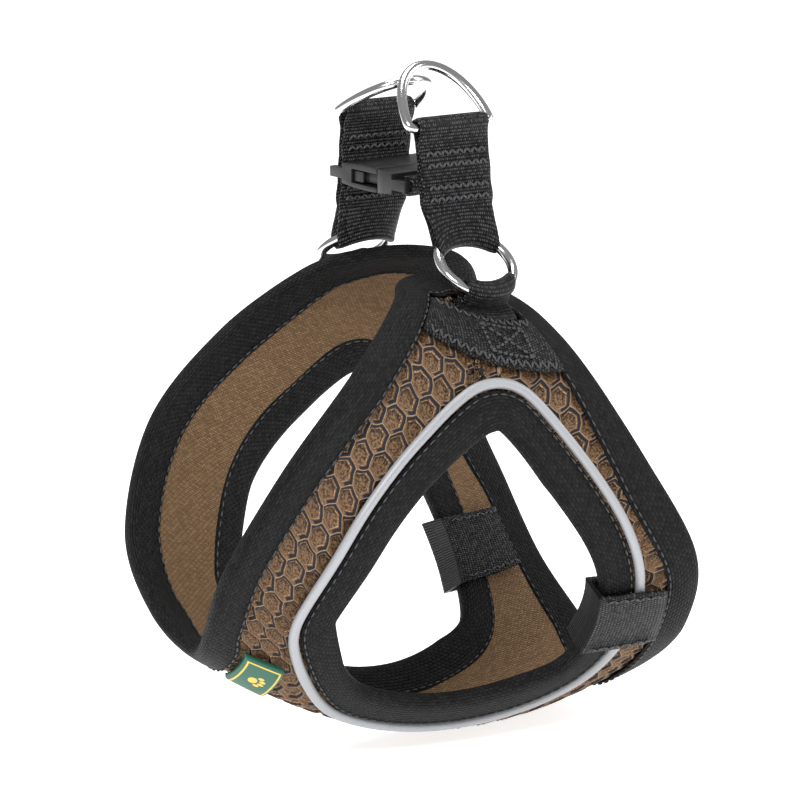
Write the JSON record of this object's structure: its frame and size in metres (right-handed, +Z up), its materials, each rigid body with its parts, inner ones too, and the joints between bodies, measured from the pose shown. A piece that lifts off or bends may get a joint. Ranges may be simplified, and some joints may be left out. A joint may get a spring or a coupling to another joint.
{
  "type": "dog harness vest",
  "caption": "Small dog's step-in harness vest of air mesh with bound edges, two leg holes, back straps with rings and a side-release buckle.",
  "frame": {"origin": "middle of the dog's torso inside the vest", "axes": "+X from chest to tail, +Y to the dog's right, +Z up"},
  "size_m": [0.134, 0.0942, 0.1712],
  "materials": {
    "air_mesh": "open hexagonal three-layer air mesh in tan with a dark thread",
    "lining_knit": "fine ribbed knit in tan with a faint sparkle",
    "binding_knit": "black knit elastic tape",
    "webbing": "black woven polyester webbing",
    "reflective": "silver grey reflective piping",
    "ring_steel": "polished nickel plated wire",
    "buckle_plastic": "satin black moulded plastic",
    "badge_rubber": "dark green soft rubber with a yellow printed line"
  },
  "bodies": {
    "vest": {"mesh_left": "air_mesh", "lining_left": "lining_knit", "edge_binding_left": "binding_knit", "leg_binding_left": "binding_knit", "leg_piping_left": "reflective", "top_patch_left": "webbing", "leg_cuff_left": "webbing", "ring_tab_left": "webbing", "mesh_right": "air_mesh", "lining_right": "lining_knit", "edge_binding_right": "binding_knit", "leg_binding_right": "binding_knit", "leg_piping_right": "reflective", "top_patch_right": "webbing", "leg_cuff_right": "webbing", "ring_tab_right": "webbing", "badge": "badge_rubber"},
    "o_ring_left": {"o_ring_left": "ring_steel"},
    "strap_left": {"strap_left": "webbing"},
    "d_ring_left": {"d_ring_left": "ring_steel"},
    "o_ring_right": {"o_ring_right": "ring_steel"},
    "strap_right": {"strap_right": "webbing"},
    "d_ring_right": {"d_ring_right": "ring_steel"},
    "socket": {"buckle_socket": "buckle_plastic"},
    "plug": {"buckle_plug": "buckle_plastic", "plug_keeper": "webbing"},
    "prong_front": {"buckle_prong_front": "buckle_plastic"},
    "prong_rear": {"buckle_prong_rear": "buckle_plastic"}
  },
  "joints": [
    {"name": "o_ring_left_swing", "type": "hinge", "parent": "vest", "child": "o_ring_left", "pos_m": [0.012, -0.02037, 0.04593], "axis": [1, 0, 0], "range_deg": [0, 60]},
    {"name": "strap_left_swing", "type": "hinge", "parent": "o_ring_left", "child": "strap_left", "pos_m": [0.012, -0.00663, 0.05667], "axis": [1, 0, 0], "range_deg": [0, 70]},
    {"name": "d_ring_left_swing", "type": "hinge", "parent": "strap_left", "child": "d_ring_left", "pos_m": [0.012, -0.002, 0.084], "axis": [1, 0, 0], "range_deg": [0, 120]},
    {"name": "o_ring_right_swing", "type": "hinge", "parent": "vest", "child": "o_ring_right", "pos_m": [0.009, 0.04457, 0.04193], "axis": [-1, 0, 0], "range_deg": [0, 50]},
    {"name": "strap_right_swing", "type": "hinge", "parent": "o_ring_right", "child": "strap_right", "pos_m": [0.009, 0.03083, 0.05267], "axis": [-1, 0, 0], "range_deg": [0, 45]},
    {"name": "d_ring_right_swing", "type": "hinge", "parent": "strap_right", "child": "d_ring_right", "pos_m": [0.009, 0.027, 0.0845], "axis": [-1, 0, 0], "range_deg": [-20, 110]},
    {"name": "buckle_tilt", "type": "hinge", "parent": "strap_right", "child": "socket", "pos_m": [0.009, 0.0288, 0.0695], "axis": [-0.996, -0.0898, 0], "range_deg": [-8, 8]},
    {"name": "buckle_release", "type": "slide", "parent": "socket", "child": "plug", "axis": [0.0898, -0.996, 0], "range_m": [0, 0.012]},
    {"name": "prong_front_squeeze", "type": "hinge", "parent": "plug", "child": "prong_front", "pos_m": [0.00093, 0.00809, 0.0695], "axis": [0, 0, -1], "range_deg": [0, 8], "stiffness_Nm_per_rad": 0.02},
    {"name": "prong_rear_squeeze", "type": "hinge", "parent": "plug", "child": "prong_rear", "pos_m": [0.02065, 0.00987, 0.0695], "axis": [0, 0, 1], "range_deg": [0, 8], "stiffness_Nm_per_rad": 0.02}
  ],
  "couplings": [
    {"joint": "prong_rear_squeeze", "follows": "prong_front_squeeze", "ratio": 1},
    {"joint": "strap_left_swing", "follows": "buckle_release", "rad_per_m": 101.8}
  ]
}
